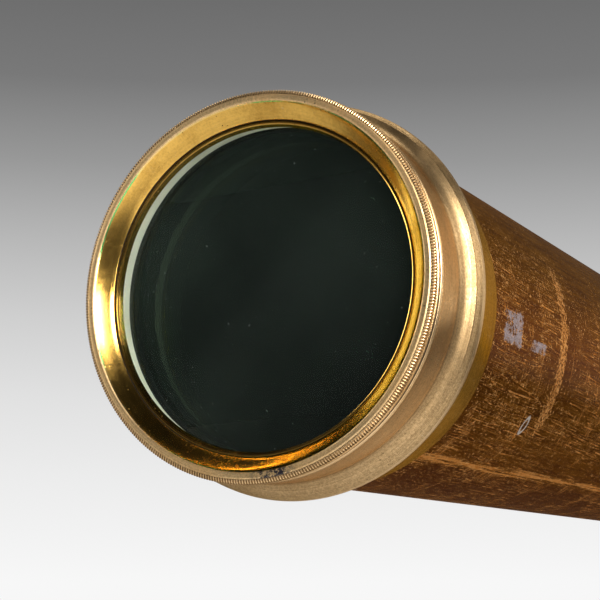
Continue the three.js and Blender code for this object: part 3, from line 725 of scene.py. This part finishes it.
def focuser():
    """The split pinion block under the barrel, and its two milled heads."""
    pinion = middle("pinion_shaft")
    split = (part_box("pinion_housing")[0].z - AXIS.z) / MM
    low, high = ((v.z - AXIS.z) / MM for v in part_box("pinion_cap"))

    def cutters():
        return (round_cutter(pinion, 2.8, 70, (0, 1, 0)), round_cutter(pinion, 7.3, 7.2, (0, 1, 0)))

    upper = [(-22, split), (22, split), *saddle_arc(33.8, 22)]
    bar_along_x("pinion housing", "body", "lacquered_brass", "pinion_housing", upper, "shoe", *cutters(),
                bevel=0.25)
    lower = [(-22, high), (22, high), (22, low + 3), (19, low), (-19, low), (-22, low + 3)]
    bar_along_x("pinion cap", "body", "lacquered_brass", "pinion_cap", lower, "shoe", *cutters(), bevel=0.5)
    for side, sign in (("left", 1), ("right", -1)):
        def across(y, r, angle):
            return pinion + MM * Vector((r * math.sin(angle), sign * y, r * math.cos(angle)))

        knob = outline_of(
            ("black", [(22.8, 2.8)]),
            ("across", [(22.8, 5.4), (23.2, 5.7), (31.5, 6.0), (33.2, 7.2), (34.2, 9.5), (34.7, 12.6)]),
            ("across", [(35.3, 13.4), (43.4, 13.4), (44.0, 12.9), (44.7, 11.6), (45.0, 10.2)]),
            ("across", [(44.5, 8.6), (44.2, 5.5), (44.2, 2.8)]),
        )
        milling = milled_rim(35.5, 43.2, 13.1, 14.0, 84, 0.45, across)
        node = f"focus_knob_{side}"
        turned(node.replace("_", " "), "pinion", knob, [node], 96, 0.12, across, [milling])


def draws():
    """The draw tube and the erector tube, with the rings at their ends."""
    pipe("draw tube", "draw", "bright", 25.8, 27)
    e = station("draw_ring", 1)
    ring = outline_of(
        ("turned", [(e - 12, 27.3), (e - 12, 29.3), (e - 11.6, 29.6), (e - 11.2, 29.6)]),
        ("turned", [(e - 11, 30.0), (e - 4.6, 30.0), (e - 4.2, 29.6), (e - 3.4, 29.3), (e - 1.5, 28.2),
                    (e - 0.3, 26.6), (e, 25.8), (e, 18.8)]),
        ("black", [(e - 0.4, 18.3), (e - 24, 18.3), (e - 24, 20.4), (e - 7.7, 20.4), (e - 7.7, 27.3)]),
    )
    milling = milled_rim(e - 10.8, e - 4.8, 29.8, 30.6, 190, 0.4)
    turned("draw ring", "draw", ring, ["draw_ring"], 192, 0.12, extra=[milling])

    pipe("erector tube", "erector", "bright", 17, 18, 144)
    e = station("erector_ring", 1)
    ring = outline_of(
        ("turned", [(e - 9, 18.3), (e - 9, 20.0), (e - 8.6, 20.4), (e - 8.3, 20.6)]),
        ("turned", [(e - 3.2, 20.6), (e - 2.7, 20.3), (e - 1.2, 19.6), (e - 0.2, 18.8), (e, 18.2),
                    (e, 15.2)]),
        ("black", [(e - 0.4, 14.8), (e - 17, 14.8), (e - 17, 16.6), (e - 4.7, 16.6), (e - 4.7, 18.3)]),
    )
    milling = milled_rim(e - 8.2, e - 3.5, 20.5, 21.2, 132, 0.4)
    turned("erector ring", "erector", ring, ["erector_ring"], 144, 0.12, extra=[milling])


def circle_part(center_y, size, start, end, step):
    """Points (y, z) on a circle, at whole degrees from +y."""
    angles = [math.radians(t) for t in range(start, end, step)]
    return [(center_y + size * math.cos(t), size * math.sin(t)) for t in angles]


def eyepiece():
    """The push-in eyepiece, its flared cup and the swinging plate that shuts its eye hole."""
    pipe("eyepiece tube", "eyepiece", "bright", 13.5, 14.5, 128)
    a, b = station("eye_cup", 0), station("eye_cup", 1)
    waist = [(a + 6, 18.3), (a + 8, 17.6), (a + 10.5, 17.2), (a + 14, 17.15), (a + 17.5, 17.5),
             (a + 21, 18.5), (a + 24, 19.7), (a + 27, 20.9), (a + 29, 21.4)]
    cup = outline_of(
        ("turned", [(a, 14.8), (a, 17.2), (a + 0.5, 17.5), (a + 1, 17.5), (a + 1.2, 18.3), (a + 2, 18.6),
                    (a + 5, 18.6)]),
        ("satin", waist),
        ("turned", [(a + 30, 21.45), (b - 0.2, 21.1), (b, 20.6), (b, 6.8), (b - 1.2, 5.4)]),
        ("black", [(b - 2.4, 4.5), (939, 4.5), (939, 7.5), (936.3, 7.5), (936.3, 14.8)]),
    )
    pivot = middle("shutter_screw")
    hole = round_cutter(Vector((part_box("eye_cup")[1].x, pivot.y, pivot.z)), 1.6, 10, (1, 0, 0))
    cut(turned("eye cup", "eyepiece", cup, ["eye_cup"], 160, 0.15), hole)

    low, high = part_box("shutter_plate")
    outline = circle_part(0, 6.2, 30, 331, 6) + circle_part((pivot.y - AXIS.y) / MM, 3.6, -90, 91, 9)
    ends = ([Vector((x, AXIS.y + y * MM, AXIS.z + z * MM)) for y, z in outline] for x in (low.x, high.x))
    vertices, faces = prism(*ends)
    shape = (vertices, faces, ["shoe"] * len(faces))
    plate = build("shutter plate", [shape], "shutter", ["shutter_plate"])
    cut(plate, round_cutter(pivot, 1.6, 20, (1, 0, 0)), bevel=0.2)
    k = station("shutter_knob", 0)
    knob = outline_of(("turned", [
        (k, 0), (k, 1.4), (k + 0.8, 1.05), (k + 1.5, 1.3), (k + 2.0, 1.9),
        (k + 2.7, 2.1), (k + 3.3, 1.9), (k + 3.7, 1.2), (k + 3.8, 0),
    ]))
    turned("shutter knob", "shutter", knob, ["shutter_knob"], 48, 0.05)
    for node, owner, bulges in (("eye_lens", "eyepiece", (1.5, 0.0)), ("field_lens", "eyepiece", (2.4, 0.0))):
        lens(node.replace("_", " "), owner, node, *bulges)


def screw(node, body, look, outwards, head_r, head_height, shank_r, length):
    """A round-headed slotted screw whose head points outwards."""
    outwards = Vector(outwards).normalized()
    side = outwards.orthogonal().normalized()
    other = outwards.cross(side)
    tip = middle(node) - outwards * length * MM / 2
    shank = length - head_height

    def place(h, r, angle):
        return tip + MM * (outwards * h + side * r * math.cos(angle) + other * r * math.sin(angle))

    angles = [math.radians(t) for t in range(90, -1, -15)]
    dome = [(shank + head_height * (0.45 + 0.55 * math.cos(t)), head_r * math.sin(t)) for t in angles]
    outline = outline_of((look, [(0, 0), (0, shank_r), (shank, shank_r), (shank, head_r * 0.97), *dome]))
    piece = turned(node.replace("_", " "), body, outline, [node], 48, 0.06, place)
    size = (head_r * 2.4 * MM, head_r * 0.24 * MM, head_height * 1.1 * MM)
    turn = Matrix((side, other, outwards)).transposed().to_euler()
    cut(piece, box_cutter(tip + outwards * (length + 0.1) * MM, size, turn))


def screws():
    """Every screw, each with its head's radius and height, its shank's radius and its length."""
    for i in range(1, 5):
        place = middle(f"saddle_screw_{i}")
        from_axis = (0, place.y - AXIS.y, place.z - AXIS.z)
        screw(f"saddle_screw_{i}", "body", "shoe", from_axis, 3.6, 1.6, 1.6, 6.0)
        screw(f"cap_screw_{i}", "body", "shoe", (0, 0, -1), 2.6, 1.3, 1.1, 12.8)
    for i in (1, 2):
        screw(f"shoe_screw_{i}", "body", "steel", (0, 0, -1), 4.0, 3.5, 2.0, 16.5)
    for side, outwards in (("left", 1), ("right", -1)):
        screw(f"knob_screw_{side}", "pinion", "steel", (0, outwards, 0), 4.4, 1.5, 1.0, 6.5)
    screw("shutter_screw", "eyepiece", "steel", (1, 0, 0), 2.8, 1.3, 1.2, 7.7)


objective()
body_tube()
mount()
tail()
focuser()
draws()
eyepiece()
screws()

# Every CAD node that is still shown gets its slot's look.
node_slots = {part["node"]: part["material_slot"] for part in frame["record"]["subparts"]}
for node, obj in frame["nodes"].items():
    look = MATERIALS[SLOT_LOOK[node_slots[node]]]
    obj.data.materials.clear()
    obj.data.materials.append(look)


# ---------------------------------------------------------------- floor, light and camera
CREST = Vector((S_ORIGIN, AXIS.y, AXIS.z))
EYE = CREST + CREST_R * MM * Vector((-6.4937, -3.6101, -1.4624))
LOOK = Vector((0.874787, 0.448852, 0.182426))
SIDEWAYS = Vector((0.456513, -0.889717, 0.0))
FLOOR_DROP = 0.55
HORIZON, TOP_GREY = 0.93, 0.13
bpy.context.scene.view_settings.view_transform = "Standard"


def camera():
    data = bpy.data.cameras.new("camera")
    data.sensor_width = 36
    data.lens = 90.92
    data.clip_start = 0.01
    eye = bpy.data.objects.new("camera", data)
    bpy.context.scene.collection.objects.link(eye)
    upwards = SIDEWAYS.cross(LOOK)
    eye.matrix_world = Matrix.Translation(EYE) @ Matrix((SIDEWAYS, upwards, -LOOK)).transposed().to_4x4()
    bpy.context.scene.camera = eye


def world():
    """A pale sweep that darkens upwards in front of the camera, and a dim room behind it."""
    made = bpy.data.worlds.new("studio")
    bpy.context.scene.world = made
    made.use_nodes = True
    nodes, links = made.node_tree.nodes, made.node_tree.links
    direction = nodes.new("ShaderNodeTexCoord").outputs["Generated"]
    axes = nodes.new("ShaderNodeSeparateXYZ")
    links.new(direction, axes.inputs[0])
    ramp = nodes.new("ShaderNodeValToRGB")
    links.new(axes.outputs[2], ramp.inputs[0])
    stops = [(0.0, HORIZON), (0.066, 0.84), (0.118, 0.75), (0.17, 0.62), (0.22, 0.47), (0.27, 0.31),
             (0.32, 0.19), (0.40, TOP_GREY), (1.0, 0.1)]
    ramp.color_ramp.interpolation = "LINEAR"
    for i, (position, value) in enumerate(stops):
        stop = ramp.color_ramp.elements[i] if i < 2 else ramp.color_ramp.elements.new(position)
        stop.position = position
        stop.color = (value, value, value, 1)
    facing = nodes.new("ShaderNodeMapRange")
    facing.interpolation_type = "SMOOTHSTEP"
    links.new(axes.outputs[0], facing.inputs[0])
    for socket, value in zip(facing.inputs[1:5], (-0.35, 0.45, 0.075, 1.0)):
        socket.default_value = value
    links.new(ramp.outputs[0], nodes["Background"].inputs[0])
    links.new(facing.outputs[0], nodes["Background"].inputs[1])


def floor():
    work = bmesh.new()
    bmesh.ops.create_circle(work, cap_ends=True, radius=40, segments=64)
    mesh = bpy.data.meshes.new("floor")
    work.to_mesh(mesh)
    work.free()
    ground = bpy.data.objects.new("floor", mesh)
    ground.location.z = -FLOOR_DROP
    bpy.context.scene.collection.objects.link(ground)
    pale = bpy.data.materials.new("pale floor")
    pale.use_nodes = True
    pale.node_tree.nodes["Principled BSDF"].inputs["Base Color"].default_value = rgb(0.86, 0.86, 0.86)
    pale.node_tree.nodes["Principled BSDF"].inputs["Roughness"].default_value = 0.7
    mesh.materials.append(pale)


def softbox(name, toward, distance, width, height, power, aim=CREST):
    data = bpy.data.lights.new(name, "AREA")
    data.shape = "RECTANGLE"
    data.size = width
    data.size_y = height
    data.energy = power
    lamp = bpy.data.objects.new(name, data)
    lamp.location = aim + Vector(toward).normalized() * distance
    lamp.rotation_euler = (aim - lamp.location).to_track_quat("-Z", "Y").to_euler()
    bpy.context.scene.collection.objects.link(lamp)
    return lamp


camera()
world()
floor()
softbox("key", (-0.45, -0.82, 0.34), 1.2, 0.55, 0.45, 22)
softbox("edge", (-0.30, -0.95, 0.02), 1.2, 0.12, 0.45, 3)
softbox("right back", (0.55, -0.9, 0.5), 1.6, 0.5, 0.6, 4)
softbox("left", (-0.35, 0.95, 0.25), 1.4, 0.5, 0.8, 7)
softbox("overhead", (0.1, 0.1, 1.0), 1.6, 1.2, 0.8, 5, aim=Vector((0, 0, 0.06)))
